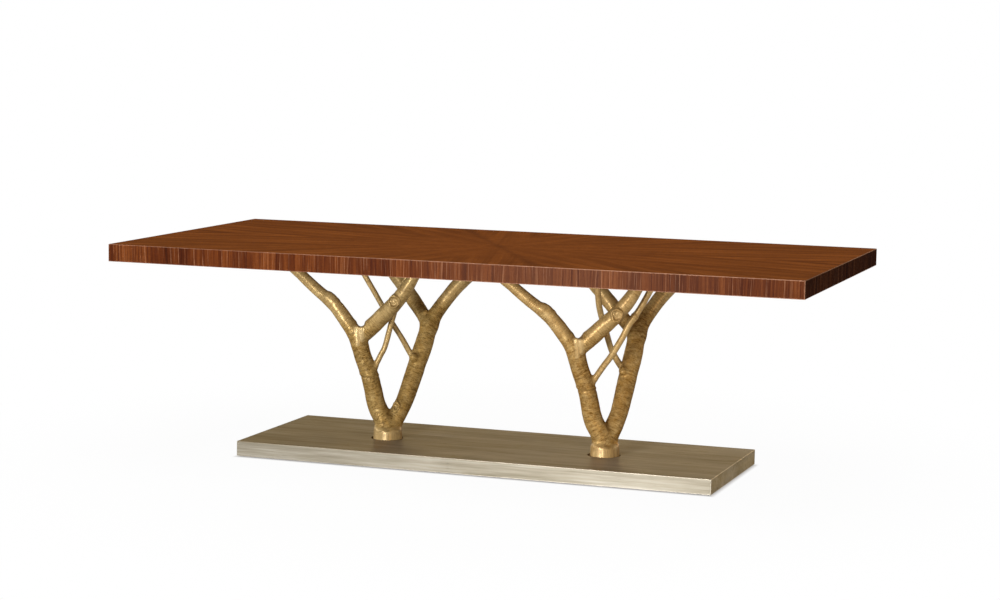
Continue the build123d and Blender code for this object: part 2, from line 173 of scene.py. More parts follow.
# Heights from which the bark gives way to smooth limbs, and how polished each part is.
FRONT_SMOOTH_FROM = 0.44
REAR_SMOOTH_FROM = 0.51
SMOOTH_WITHIN = 0.05
COLLAR_POLISH = 0.5
LIMB_POLISH = 0.5
KNOT_POLISH = 0.8
TWIG_POLISH = 0.6

LIMB_NODES = ("collar", "front_stem", "outer_branch", "knotted_branch", "rear_stem",
              "rear_right_branch", "rear_left_branch", "front_twig", "rear_twig")

# ---- Mesh helpers -----------------------------------------------------------------------------

def add_piece(name, points, faces, material, replaced):
    """Smooth mesh object from arrays of points and faces, which rides on the root body."""
    mesh = bpy.data.meshes.new(name)
    mesh.from_pydata(points.tolist(), [], faces.tolist())
    mesh.update()
    mesh.polygons.foreach_set("use_smooth", np.full(len(mesh.polygons), True))
    piece = bpy.data.objects.new(name, mesh)
    bpy.context.scene.collection.objects.link(piece)
    mesh.materials.append(material)
    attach(piece, "root")
    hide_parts(*replaced)
    return piece


def point_attribute(piece, name, values):
    """One number per vertex, which materials can read."""
    attribute = piece.data.attributes.new(name, "FLOAT", "POINT")
    attribute.data.foreach_set("value", np.asarray(values, np.float32))


LATTICE_KEYS = np.array([73856093, 19349663, 83492791])   # large primes, one for each axis


def lattice_noise(points, wavelength, seed):
    """Value noise from -1 to 1: random numbers on a cubic lattice, blended by smooth steps."""
    scaled = points / wavelength + 1000.0
    cell = np.floor(scaled).astype(np.int64)
    part = scaled - cell
    part = part * part * (3 - 2 * part)
    total = np.zeros(len(points))
    for corner in range(8):
        step = np.array([corner & 1, corner >> 1 & 1, corner >> 2 & 1])
        key = (cell + step) @ LATTICE_KEYS + seed * 9176123
        key = (key ^ (key >> 13)) * 1274126177 & 0xFFFFFFFF
        key = (key ^ (key >> 16)) * 668265263 & 0xFFFFFFFF
        random = (key ^ (key >> 15) & 0xFFFF) % 65536 / 32767.5 - 1
        weight = np.prod(np.where(step == 1, part, 1 - part), axis=1)
        total += weight * random
    return total


# ---- Pedestal castings ------------------------------------------------------------------------

SAMPLES_PER_SPAN = 5
FAR = 0.1            # distance that stands for every place well away from a tube
NEAR_BAND = 0.03     # a tube's distance is worked out this far round it


def smooth_stations(stations):
    """Catmull-Rom curve through the stations, as rows of x, y, z, radius in metres."""
    rows = np.array(stations, float) * MM
    rows = np.vstack([2 * rows[0] - rows[1], rows, 2 * rows[-1] - rows[-2]])
    share = np.linspace(0, 1, SAMPLES_PER_SPAN, endpoint=False)[:, None]
    spans = []
    for before, start, end, after in zip(rows, rows[1:], rows[2:], rows[3:]):
        spans.append(0.5 * (2 * start + (end - before) * share
                            + (2 * before - 5 * start + 4 * end - after) * share ** 2
                            + (3 * start - before - 3 * end + after) * share ** 3))
    return np.vstack(spans + [rows[-2:-1]]).astype(np.float32)


def tube_distance(points, curve, along_at_start=0.0):
    """Distance to a tapering tube's skin, and how far along the tube the nearest place is.

    For each straight run of the curve: distance to its line, less the radius there; the
    smallest of them counts.  Points well outside the tube's box are left at FAR.
    """
    reach = curve[:, 3].max() + NEAR_BAND
    low, high = curve[:, :3].min(axis=0) - reach, curve[:, :3].max(axis=0) + reach
    near = np.nonzero(np.all((points > low) & (points < high), axis=1))[0]
    here = points[near]
    nearest = np.full(len(here), FAR, np.float32)
    place = np.zeros(len(here), np.float32)
    travelled = along_at_start
    for start, end in zip(curve, curve[1:]):
        axis = end[:3] - start[:3]
        length = float(np.linalg.norm(axis))
        offset = here - start[:3]
        share = np.clip(offset @ (axis / length ** 2), 0, 1)
        radial = offset - share[:, None] * axis
        gap = np.sqrt(np.einsum("ij,ij->i", radial, radial)) - start[3]
        gap -= share * (end[3] - start[3])
        closer = gap < nearest
        nearest[closer] = gap[closer]
        place[closer] = travelled + share[closer] * length
        travelled += length
    distance = np.full(len(points), FAR, np.float32)
    along = np.full(len(points), along_at_start, np.float32)
    distance[near] = nearest
    along[near] = place
    return distance, along


def rounded_post(radial, height, radius, half_height, rounding):
    """Distance to an upright cylinder about height 0 with rounded rims."""
    outward = radial - (radius - rounding)
    upward = np.abs(height) - (half_height - rounding)
    outside = np.hypot(np.maximum(outward, 0), np.maximum(upward, 0))
    return outside + np.minimum(np.maximum(outward, upward), 0) - rounding


def bell(values, middle, width):
    """Bell curve: 1 at the middle, falling off smoothly over the width."""
    return np.exp(-((values - middle) / width) ** 2)


def near_share(distance, reach, level=1.0):
    """Share on a skin, which falls evenly by 1 over each reach away from it, kept in 0 to 1."""
    return np.clip(level - distance / reach, 0, 1)


def blend_share(first, second, reach):
    """Share of the first shape in a smooth union of two distances."""
    return np.clip(0.5 + 0.5 * (second - first) / reach, 0, 1)


def smooth_union(first, second, reach):
    """Smooth union: two skins melt together where they are nearer to each other than reach."""
    share = blend_share(first, second, reach)
    return second + (first - second) * share - reach * share * (1 - share)


class Casting:
    """Branch pedestal as one distance field about its foot, in metres."""

    def __init__(self, side):
        self.side = side
        self.top = UNDERSIDE + 0.5 * MM - LIFT[side]
        self.front = smooth_stations(FRONT_LIMB)
        # each other limb, how far along its own stem it starts, and its melt
        self.branches = [
            (smooth_stations(REAR_LIMB), 0.0, STEM_MELT),
            (smooth_stations(KNOTTED_BRANCH), 0.36, FRONT_FORK_MELT),
            (smooth_stations(REAR_LEFT_BRANCH), 0.42, REAR_FORK_MELT),
            (smooth_stations(FRONT_TWIG[side]), 0.25, TWIG_MELT),
            (smooth_stations(REAR_TWIG[side]), 0.28, TWIG_MELT),
        ]

    def skin(self, points):
        """Distance to the whole casting's skin, with the place along the limbs."""
        distance, along = tube_distance(points, self.front)
        ring = bell(points[:, 2], *GROWTH_RING) - bell(points[:, 2], *GROOVE_UNDER_RING)
        distance = distance - GROWTH_RING_DEPTH * ring
        for curve, along_at_start, melt in self.branches:
            other, other_along = tube_distance(points, curve, along_at_start)
            share = blend_share(distance, other, melt)
            along = along * share + other_along * (1 - share)
            distance = smooth_union(distance, other, melt)
        notch = capsule_distance(points, FORK_NOTCH)
        distance = -smooth_union(-distance, notch, NOTCH_MELT)
        for *bump, melt in BUMPS[self.side]:
            distance = smooth_union(distance, capsule_distance(points, bump), melt * MM)
        for knot in KNOTS[self.side]:
            distance = smooth_union(distance, knot_distance(points, knot), KNOT_MELT)
            distance = smooth_union(distance, callus_distance(points, knot), CALLUS_MELT)
        distance = smooth_union(distance, collar_distance(points, LIFT[self.side]), COLLAR_MELT)
        return np.maximum(distance, points[:, 2] - self.top), along


def capsule_distance(points, bump):
    """Distance to a run with round ends whose radius changes evenly."""
    start, end, start_radius, end_radius = bump
    start, end = (np.array(place, np.float32) * MM for place in (start, end))
    axis = end - start
    offset = points - start
    share = np.clip(offset @ (axis / (axis @ axis)), 0, 1)
    radial = offset - share[:, None] * axis
    radius = (start_radius + share * (end_radius - start_radius)) * MM
    return np.sqrt(np.einsum("ij,ij->i", radial, radial)) - radius


def knot_place(points, knot):
    """Depth outside the cut face, place across and up it as shares of its half sizes."""
    centre, outward, half_width, half_height, _ = knot
    outward = np.array(outward) / np.linalg.norm(outward)
    across = np.cross([0, 0, 1], outward)
    across /= np.linalg.norm(across)
    upward = np.cross(outward, across)
    offset = points - (np.array(centre) * MM).astype(np.float32)
    return (offset @ outward, offset @ across / (half_width * MM),
            offset @ upward / (half_height * MM))


def knot_distance(points, knot):
    """Short stub behind the cut face: an oval post, dished in its middle.

    On the dish lies a spiral of two low arms: a sine of twice the turn about the middle and
    eleven times the way out, which dies away at the middle and at the rim.
    """
    *_, half_width, _, half_depth = knot
    depth, across, upward = knot_place(points, knot)
    ring = np.hypot(across, upward)
    turn = np.arctan2(upward, across)
    dish = (3.0 * np.clip(1.05 - ring, 0, 1) + 1.6 * np.sin(2 * turn + 11 * ring)
            * np.clip(ring * (1 - ring) * 4, 0, 1)) * MM
    return rounded_post(ring * half_width * MM, depth + half_depth * MM + dish,
                        half_width * MM, half_depth * MM, 4 * MM)


def callus_distance(points, knot):
    """Raised lip of bark round the cut face: a wavy oval ring with a round section."""
    half_width = knot[2]
    depth, across, upward = knot_place(points, knot)
    turn = np.arctan2(upward, across)
    ring = np.hypot(across, upward) * half_width * MM
    wave = (1.3 * np.sin(3 * turn + 0.8) + 0.7 * np.sin(5 * turn)) * MM
    thick = (3.9 + 1.0 * np.sin(2 * turn - 0.9)) * MM
    return np.hypot(ring - (half_width - 3.0) * MM - wave, depth - 0.4 * MM) - thick


def collar_distance(points, lift):
    """Foot ring: a post that narrows upwards, whose upper rim rises and falls.

    Its radius shrinks evenly from the base to the rim, and is a little larger to the right,
    where the rear stem comes down on it.  Sines of the turn about the middle wave the rim and
    the girth.  Below it a plain round foot goes down into the plinth.
    """
    radial = np.hypot(points[:, 0], points[:, 1])
    turn = np.arctan2(points[:, 1], points[:, 0])
    rim = 2.4 * np.sin(2 * turn + 0.6) + 1.6 * np.sin(3 * turn + 2.1) + 1.2 * np.sin(7 * turn)
    top = COLLAR_TOP - lift + (1 + rim) * MM
    base = PLINTH_HIGH.z - lift - COLLAR_SUNK
    middle = (top + base) / 2
    height_share = (points[:, 2] - base) / (COLLAR_TOP - COLLAR_BASE)
    narrowing = COLLAR_NARROWING * np.clip(height_share, 0, 1.2)
    right = 3.6 * MM * np.maximum(np.cos(turn - 0.34), 0)
    around = radial + narrowing - right - 0.8 * MM * np.sin(5 * turn + 1.2)
    shoulder = rounded_post(around, points[:, 2] - middle, COLLAR_RADIUS, top - middle, 8 * MM)
    foot = rounded_post(radial, points[:, 2] - base, COLLAR_FOOT_RADIUS,
                        base - COLLAR_BASE + lift, 2 * MM)
    return np.minimum(shoulder, foot)


# Corners of a cell, in the order of their numbers, and the pairs of them that are its edges.
CORNERS = np.array([[i, j, k] for i in (0, 1) for j in (0, 1) for k in (0, 1)])
EDGES = [(0, 1), (2, 3), (4, 5), (6, 7), (0, 2), (1, 3), (4, 6), (5, 7),
         (0, 4), (1, 5), (2, 6), (3, 7)]
FIRST_CELL = 0.024
HALVINGS = 3
CELL_KEYS = np.array([1 << 24, 1 << 12, 1])       # make one whole number of a cell's place


def casting_surface(casting):
    """Skin of a casting as points and quads, found on a cubic lattice.

    Cells that the skin may cross are halved three times, from 24 to 3 mm.  Each crossed cell
    gives one point, the mean of the skin's crossings of its edges, and each crossed edge gives
    one quad between its four cells.
    """
    low = np.array([-0.47, -0.11, COLLAR_BASE - 0.02])
    high = np.array([0.35, 0.31, casting.top + 0.02])
    count = np.ceil((high - low) / FIRST_CELL).astype(int)
    cells = np.stack(np.meshgrid(*map(np.arange, count), indexing="ij"), -1).reshape(-1, 3)
    size = FIRST_CELL
    for _ in range(HALVINGS):
        centres = (low + (cells + 0.5) * size).astype(np.float32)
        cells = cells[np.abs(casting.skin(centres)[0]) < size]
        cells = (cells[:, None] * 2 + CORNERS).reshape(-1, 3)
        size /= 2
    corner_keys = (cells[:, None] + CORNERS) @ CELL_KEYS
    keys, where = np.unique(corner_keys, return_inverse=True)
    places = np.stack([keys >> 24, keys >> 12 & 4095, keys & 4095], -1)
    values = casting.skin((low + places * size).astype(np.float32))[0]
    values = values[where.reshape(corner_keys.shape)].astype(float)
    values[values == 0] = 1e-9
    crossed = (values.min(axis=1) < 0) & (values.max(axis=1) > 0)
    cells, values = cells[crossed], values[crossed]
    total, hits = np.zeros((len(cells), 3)), np.zeros(len(cells))
    for first, second in EDGES:
        start, end = values[:, first], values[:, second]
        cut = start * end < 0
        share = start[cut] / (start[cut] - end[cut])
        total[cut] += CORNERS[first] + share[:, None] * (CORNERS[second] - CORNERS[first])
        hits[cut] += 1
    points = low + (cells + total / hits[:, None]) * size
    order = np.argsort(cells @ CELL_KEYS)
    cells, values, points = cells[order], values[order], points[order]
    cell_keys = cells @ CELL_KEYS
    quads = []
    for axis in range(3):
        side_one, side_two = (axis + 1) % 3, (axis + 2) % 3
        end_corner = (4, 2, 1)[axis]
        cut = np.nonzero(values[:, 0] * values[:, end_corner] < 0)[0]
        ring = []
        for back_one, back_two in ((0, 0), (1, 0), (1, 1), (0, 1)):
            back = back_one * CELL_KEYS[side_one] + back_two * CELL_KEYS[side_two]
            ring.append(np.searchsorted(cell_keys, cell_keys[cut] - back))
        ring = np.stack(ring, -1)
        inward = values[cut, 0] > 0
        ring[inward] = ring[inward][:, ::-1]
        quads.append(ring)
    return points, np.vstack(quads)


def relaxed(points, quads):
    """Each point moved halfway to the mean of its neighbours."""
    total, count = np.zeros_like(points), np.zeros(len(points))
    for start, end in ((0, 1), (1, 2), (2, 3), (3, 0)):
        for here, there in ((start, end), (end, start)):
            for axis in range(3):
                total[:, axis] += np.bincount(
                    quads[:, here], points[quads[:, there], axis], len(points))
            count += np.bincount(quads[:, here], minlength=len(points))
    return (points + total / count[:, None]) / 2


def slope(casting, points, step=1.5 * MM):
    """Distance and its gradient, by differences over a small step."""
    parts = []
    for axis in np.eye(3) * step:
        ahead = casting.skin((points + axis).astype(np.float32))[0]
        behind = casting.skin((points - axis).astype(np.float32))[0]
        parts.append((ahead - behind) / (2 * step))
    return casting.skin(points.astype(np.float32))[0], np.stack(parts, -1)


def turned(points, angle):
    """Points turned about the upright axis, anticlockwise from above."""
    cosine, sine = math.cos(angle), math.sin(angle)
    return np.stack([points[:, 0] * cosine - points[:, 1] * sine,
                     points[:, 0] * sine + points[:, 1] * cosine, points[:, 2]], -1)


def surface_marks(side, casting, points):
    """Shares of collar, of polish and of full swelling at each point.

    Polish is the largest of the collar's, the smooth upper limbs', the knot faces', the drips'
    and the twigs' own.  Swelling shrinks on thin twigs, on the collar and under the table top.
    """
    twig = np.minimum(*(tube_distance(points.astype(np.float32), smooth_stations(limbs[side]))[0]
                        for limbs in (FRONT_TWIG, REAR_TWIG)))
    collar = near_share(collar_distance(points, LIFT[side]), 7 * MM, 1.1)
    collar = np.clip(collar + 0.35 * lattice_noise(points, 0.009, 4) * (collar < 1), 0, 1)
    smooth_from = np.where(points[:, 1] > 0.1, REAR_SMOOTH_FROM, FRONT_SMOOTH_FROM)
    smooth_limb = np.clip((points[:, 2] - smooth_from) / SMOOTH_WITHIN, 0, 1)
    polish = np.maximum(COLLAR_POLISH * collar, LIMB_POLISH * smooth_limb)
    for knot in KNOTS[side]:
        face = near_share(knot_distance(points, knot), 3 * MM)
        polish = np.maximum(polish, KNOT_POLISH * face)
    for drip in DRIPS:
        polish = np.maximum(polish, near_share(capsule_distance(points, drip[:4]), 5 * MM, 1.4))
    polish = np.maximum(polish, TWIG_POLISH * near_share(twig, 5 * MM, 1.2))
    level = np.clip((casting.top - points[:, 2]) / (4 * MM), 0, 1)
    free = np.clip(twig / (6 * MM), 0.35, 1) * (1 - 0.8 * collar) * level
    return collar, polish, free


def build_casting(side, material):
    """Whole pedestal casting: limbs, knots and collar in one skin, with a bark surface.

    The points are drawn onto the skin in three steps.  Then they move along its slope by three
    sizes of lattice noise: broad swellings, lumps and small lumps.
    """
    casting = Casting(side)
    points, quads = casting_surface(casting)
    points = relaxed(points, quads)
    for _ in range(3):
        distance, gradient = slope(casting, points)
        square = np.maximum(np.einsum("ij,ij->i", gradient, gradient), 0.2)
        points -= (distance / square)[:, None] * gradient
    distance, gradient = slope(casting, points)
    normal = gradient / np.linalg.norm(gradient, axis=1)[:, None]
    along = casting.skin(points.astype(np.float32))[1]
    collar, polish, free = surface_marks(side, casting, points)
    swelling = 1.5 * lattice_noise(points, 0.072, 1) + 0.9 * lattice_noise(points, 0.028, 2)
    swelling += 0.35 * lattice_noise(points, 0.011, 3)
    swelling *= free
    points = points + (swelling * MM)[:, None] * normal
    points[:, 2] = np.minimum(points[:, 2], casting.top)
    points[:, 2] = np.maximum(points[:, 2] + LIFT[side], COLLAR_BASE)
    points = turned(points, TURN[side]) + np.array([FOOT[side].x, FOOT[side].y, 0])
    piece = add_piece(f"{side}_branch_casting", points, quads, material,
                      [f"{side}_{limb}" for limb in LIMB_NODES])
    point_attribute(piece, "along_limb", along)
    point_attribute(piece, "collar", collar)
    point_attribute(piece, "swelling", swelling)
    point_attribute(piece, "polish", polish)


# ---- Material building ----------------------------------------------------------------------

class Nodes:
    """Adds nodes to one node tree: sockets are given by name or number, links are made at once."""

    def __init__(self, tree):
        self.tree = tree

    def add(self, kind, inputs=None, **settings):
        family = "Node" if kind in ("GroupInput", "GroupOutput") else "ShaderNode"
        node = self.tree.nodes.new(family + kind)
        for name, value in settings.items():
            setattr(node, name, value)
        for name, value in (inputs or {}).items():
            self.feed(node.inputs[name], value)
        return node

    def feed(self, socket, value):
        if isinstance(value, bpy.types.NodeSocket):
            self.tree.links.new(value, socket)
        elif isinstance(value, bpy.types.Node):
            self.tree.links.new(value.outputs[0], socket)
        else:
            socket.default_value = value

    def math(self, operation, first, second=0.0, third=0.0, clamp=False):
        inputs = {0: first, 1: second, 2: third}
        return self.add("Math", inputs, operation=operation, use_clamp=clamp).outputs[0]

    def vector(self, operation, first, second=(0, 0, 0)):
        return self.add("VectorMath", {0: first, 1: second}, operation=operation).outputs[0]

    def scaled(self, vector, factors):
        return self.vector("MULTIPLY", vector, factors)

    def length(self, vector):
        return self.add("VectorMath", {0: vector}, operation="LENGTH").outputs[1]

    def object_place(self):
        return self.add("TexCoord").outputs["Object"]

    def attribute(self, name):
        return self.add("Attribute", attribute_name=name).outputs["Fac"]

    def split(self, vector):
        return self.add("SeparateXYZ", {0: vector}).outputs

    def combine(self, x, y, z):
        return self.add("CombineXYZ", {0: x, 1: y, 2: z}).outputs[0]

    def noise(self, vector, scale, detail=2.0, roughness=0.5, distortion=0.0):
        inputs = {"Vector": vector, "Scale": scale, "Detail": detail, "Roughness": roughness,
                  "Distortion": distortion}
        return self.add("TexNoise", inputs).outputs["Fac"]

    def random(self, value):
        return self.add("TexWhiteNoise", {"W": value}, noise_dimensions="1D").outputs["Value"]

    def remap(self, value, low, high, new_low=0.0, new_high=1.0, smooth=False):
        inputs = {0: value, 1: low, 2: high, 3: new_low, 4: new_high}
        kind = "SMOOTHSTEP" if smooth else "LINEAR"
        return self.add("MapRange", inputs, interpolation_type=kind).outputs[0]

    def mix(self, share, first, second, blend="MIX"):
        node = self.add("Mix", data_type="RGBA", blend_type=blend)
        self.feed(node.inputs[0], share)
        for socket, value in ((node.inputs[6], first), (node.inputs[7], second)):
            self.feed(socket, (*value, 1) if isinstance(value, tuple) else value)
        return node.outputs[2]

    def stained(self, base, share, strength, colour):
        """The base colour with another over it where the share is, as strong as given."""
        return self.mix(self.math("MULTIPLY", share, strength), base, colour)

    def ramp(self, value, stops):
        node = self.add("ValToRGB", {0: value})
        band = node.color_ramp
        while len(band.elements) < len(stops):
            band.elements.new(0.5)
        for element, (place, colour) in zip(band.elements, stops):
            element.position = place
            element.color = (*colour, 1)
        return node.outputs[0]

    def bump(self, height, distance, strength=1.0):
        inputs = {"Height": height, "Distance": distance, "Strength": strength}
        return self.add("Bump", inputs).outputs[0]

    def group(self, group, inputs):
        node = self.add("Group")
        node.node_tree = group
        for name, value in inputs.items():
            self.feed(node.inputs[name], value)
        return node


def new_material(name):
    """Empty material with its node helper and its output node."""
    material = bpy.data.materials.new(name)
    material.use_nodes = True
    material.node_tree.nodes.clear()
    nodes = Nodes(material.node_tree)
    return material, nodes, nodes.add("OutputMaterial")


def principled(nodes, output, **inputs):
    """Shader at the end of a material; input names have underscores for spaces."""
    values = {name.replace("_", " "): value for name, value in inputs.items()}
    shader = nodes.add("BsdfPrincipled", values)
    nodes.feed(output.inputs["Surface"], shader)


def seen_share(nodes):
    """1 for the rays that see the backdrop: from the camera, a mirror or a pane, else 0."""
    path = nodes.add("LightPath")
    mirrored = nodes.math("MAXIMUM", path.outputs["Is Glossy Ray"],
                          path.outputs["Is Transmission Ray"])
    return nodes.math("MAXIMUM", path.outputs["Is Camera Ray"], mirrored)


PALE_GREY = (0.86, 0.86, 0.87, 1)
PURE_WHITE = (1, 1, 1, 1)
WORLD_LIGHT = (1.0, 0.91, 0.77, 1)
WORLD_STRENGTH = 0.18


def floor_material():
    """Pale floor that keeps the object's shadow close to it, and is seen plain white far off.

    How plain it is seen rises with the distance from the middle, and is low in a narrow band
    round the plinth's foot, where the contact shadow lies.
    """
    material, nodes, output = new_material("studio_floor")
    matte = nodes.add("BsdfDiffuse", {"Color": PALE_GREY})
    lit = nodes.add("Emission", {"Color": PURE_WHITE, "Strength": 1.0})
    place = nodes.object_place()
    outside = nodes.split(nodes.vector("SUBTRACT", nodes.vector("ABSOLUTE", place), PLINTH_HALF))
    beside = nodes.math("MAXIMUM", outside[0], outside[1])
    far_off = nodes.remap(nodes.length(place), 1.1, 2.2, 0.97, 1.0, smooth=True)
    plain = nodes.math("MINIMUM", far_off, nodes.remap(beside, -0.008, 0.016, 0.25, 1.0))
    share = nodes.math("MULTIPLY", seen_share(nodes), plain)
    mixed = nodes.add("MixShader", {0: share, 1: matte, 2: lit})
    nodes.feed(output.inputs["Surface"], mixed)
    return material


def add_world():
    """Soft even light from all round, seen as plain white."""
    world = bpy.data.worlds.new("studio")
    bpy.context.scene.world = world
    world.use_nodes = True
    world.node_tree.nodes.clear()
    nodes = Nodes(world.node_tree)
    around = nodes.add("Background", {"Color": WORLD_LIGHT, "Strength": WORLD_STRENGTH})
    white = nodes.add("Background", {"Color": PURE_WHITE, "Strength": 1.0})
    mixed = nodes.add("MixShader", {0: seen_share(nodes), 1: around, 2: white})
    nodes.feed(nodes.add("OutputWorld").inputs["Surface"], mixed)


# ---- Shared effects -------------------------------------------------------------------------

def new_group(name, inputs, outputs):
    """Empty shader node group; sockets are given as (name, kind, default) and (name, kind)."""
    group = bpy.data.node_groups.new(name, "ShaderNodeTree")
    for socket_name, kind, default in inputs:
        socket = group.interface.new_socket(socket_name, in_out="INPUT", socket_type=kind)
        if default is not None:
            socket.default_value = default
    for socket_name, kind in outputs:
        group.interface.new_socket(socket_name, in_out="OUTPUT", socket_type=kind)
    nodes = Nodes(group)
    return group, nodes, nodes.add("GroupInput"), nodes.add("GroupOutput").inputs


FLOAT, VECTOR = "NodeSocketFloat", "NodeSocketVector"


def wood_grain_group():
    """Straight-grained timber along X: long streaks of three widths and short open pores."""
    group, nodes, given, result = new_group(
        "wood_grain",
        [("Vector", VECTOR, None), ("Streak Width", FLOAT, 0.01), ("Streak Length", FLOAT, 0.4)],
        [("Tone", FLOAT), ("Pores", FLOAT), ("Height", FLOAT)])
    place = given.outputs["Vector"]
    across = nodes.math("DIVIDE", 1.0, given.outputs["Streak Width"])
    along = nodes.math("DIVIDE", 1.0, given.outputs["Streak Length"])
    streaks = nodes.scaled(place, nodes.combine(along, across, across))
    wander = nodes.noise(nodes.scaled(place, (3, 9, 9)), 1.0, 1.0)
    sideways = nodes.combine(0.0, nodes.math("MULTIPLY", wander, 1.6), 0.0)
    streaks = nodes.vector("ADD", streaks, sideways)
    broad = nodes.noise(nodes.scaled(streaks, (0.35, 0.22, 0.22)), 1.0, 2.0)
    medium = nodes.noise(streaks, 1.0, 3.0, 0.6)
    fine = nodes.noise(nodes.scaled(streaks, (2.5, 5.5, 5.5)), 1.0, 2.0, 0.6)
    tone = nodes.math("MULTIPLY", broad, 0.45)
    tone = nodes.math("MULTIPLY_ADD", medium, 0.35, tone)
    tone = nodes.math("MULTIPLY_ADD", fine, 0.20, tone)
    fleck = nodes.noise(nodes.scaled(place, (85, 1300, 1300)), 1.0, 1.0)
    pores = nodes.remap(fleck, 0.60, 0.72)
    height = nodes.math("MULTIPLY_ADD", fine, 0.35, nodes.math("MULTIPLY", pores, -0.65))
    nodes.feed(result["Tone"], nodes.remap(tone, 0.36, 0.64))
    nodes.feed(result["Pores"], pores)
    nodes.feed(result["Height"], height)
    return group


def handling_group():
    """Marks of use on a smooth finish: soft smudges and a web of hair-fine scratches."""
    group, nodes, given, result = new_group(
        "handling_marks", [("Vector", VECTOR, None), ("Scale", FLOAT, 1.0)],
        [("Smudge", FLOAT), ("Scratch", FLOAT)])
    scale = given.outputs["Scale"]
    place = nodes.scaled(given.outputs["Vector"], nodes.combine(scale, scale, scale))
    smudge = nodes.noise(place, 9.0, 3.0, 0.6, 0.4)
    scratches = []
    for rotation, along, rarity in (((0.3, 0.2, 0.7), 14, 0.70), ((0.1, 0.4, -0.9), 18, 0.71)):
        turned_place = nodes.add("Mapping", {"Vector": place, "Rotation": rotation,
                                             "Scale": (900, along, 900)}).outputs[0]
        hairs = nodes.noise(turned_place, 1.0, 1.0)
        scratches.append(nodes.remap(hairs, rarity, rarity + 0.06))
    nodes.feed(result["Smudge"], nodes.remap(smudge, 0.3, 0.7))
    nodes.feed(result["Scratch"], nodes.math("MAXIMUM", *scratches))
    return group


def arris_highlight_group():
    """Mask for a painted highlight along the arrises: 1 at the edges of a box that is centred over
    the origin, 0 inside.

    The second smallest of the three distances to the box's faces is the distance to its
    nearest edge; it is waved by a little noise.
    """
    group, nodes, given, result = new_group(
        "arris_highlight",
        [("Vector", VECTOR, None), ("Half Size", VECTOR, None), ("Middle Height", FLOAT, 0.0),
         ("Width", FLOAT, 0.003)],
        [("Highlight", FLOAT)])
    place = nodes.vector("SUBTRACT", given.outputs["Vector"],
                         nodes.combine(0.0, 0.0, given.outputs["Middle Height"]))
    gaps = nodes.split(nodes.vector("SUBTRACT", given.outputs["Half Size"],
                                    nodes.vector("ABSOLUTE", place)))
    low = nodes.math("MINIMUM", gaps[0], gaps[1])
    high = nodes.math("MAXIMUM", gaps[0], gaps[1])
    edge = nodes.math("MINIMUM", nodes.math("MAXIMUM", low, gaps[2]), high)
    ragged = nodes.noise(given.outputs["Vector"], 140.0, 3.0, 0.6)
    reach = nodes.math("MULTIPLY", given.outputs["Width"], nodes.remap(ragged, 0.2, 0.8, 0.4, 1.5))
    nodes.feed(result["Highlight"], nodes.math(
        "SUBTRACT", 1.0, nodes.math("DIVIDE", edge, reach), clamp=True))
    return group


WOOD_GRAIN = wood_grain_group()
HANDLING = handling_group()
ARRIS_HIGHLIGHT = arris_highlight_group()


# ---- Wood finishes --------------------------------------------------------------------------

LEAF_ANGLE = math.pi / 6
# Across the joint that runs from the back left to the front right, where dark edges meet.
SEAM_NORMAL = (math.cos(LEAF_ANGLE), math.sin(LEAF_ANGLE), 0)
SATIN_DENT = 0.00012               # depth of pores and scratches under lacquer

WALNUT_TONES = [(0.0, (0.082, 0.022, 0.006)), (0.35, (0.162, 0.047, 0.0095)),
                (0.6, (0.240, 0.071, 0.0142)), (1.0, (0.370, 0.128, 0.032))]
WALNUT_PORE = (0.040, 0.012, 0.005)
GLUE_LINE = (0.045, 0.014, 0.006)
DARK_SEAM = (0.060, 0.018, 0.006)

EDGE_TONES = [(0.0, (0.026, 0.006, 0.003)), (0.3, (0.078, 0.018, 0.005)),
              (0.6, (0.142, 0.038, 0.009)), (1.0, (0.262, 0.088, 0.028))]
EDGE_PORE = (0.040, 0.012, 0.008)
EDGE_PAINTED_SHEEN = (0.205, 0.092, 0.050)
PALE_STREAK = (0.400, 0.190, 0.098)
DARK_STREAK = (0.034, 0.009, 0.008)
DARK_BAND = (0.034, 0.009, 0.011)
WOOD_ARRIS_HIGHLIGHT = (0.560, 0.310, 0.200)

BACKING_TONES = ((0.055, 0.020, 0.009), (0.115, 0.042, 0.016), (0.185, 0.075, 0.030))
POPLAR_TONES = ((0.36, 0.26, 0.14), (0.50, 0.38, 0.22), (0.62, 0.50, 0.31))


def lacquer(nodes, place, roughness):
    """Satin lacquer: the smudged roughness and the strength of its scratches."""
    marks = nodes.group(HANDLING, {"Vector": place, "Scale": 1.0})
    rough = nodes.remap(marks.outputs["Smudge"], 0, 1, roughness - 0.05, roughness + 0.06)
    return rough, marks.outputs["Scratch"]


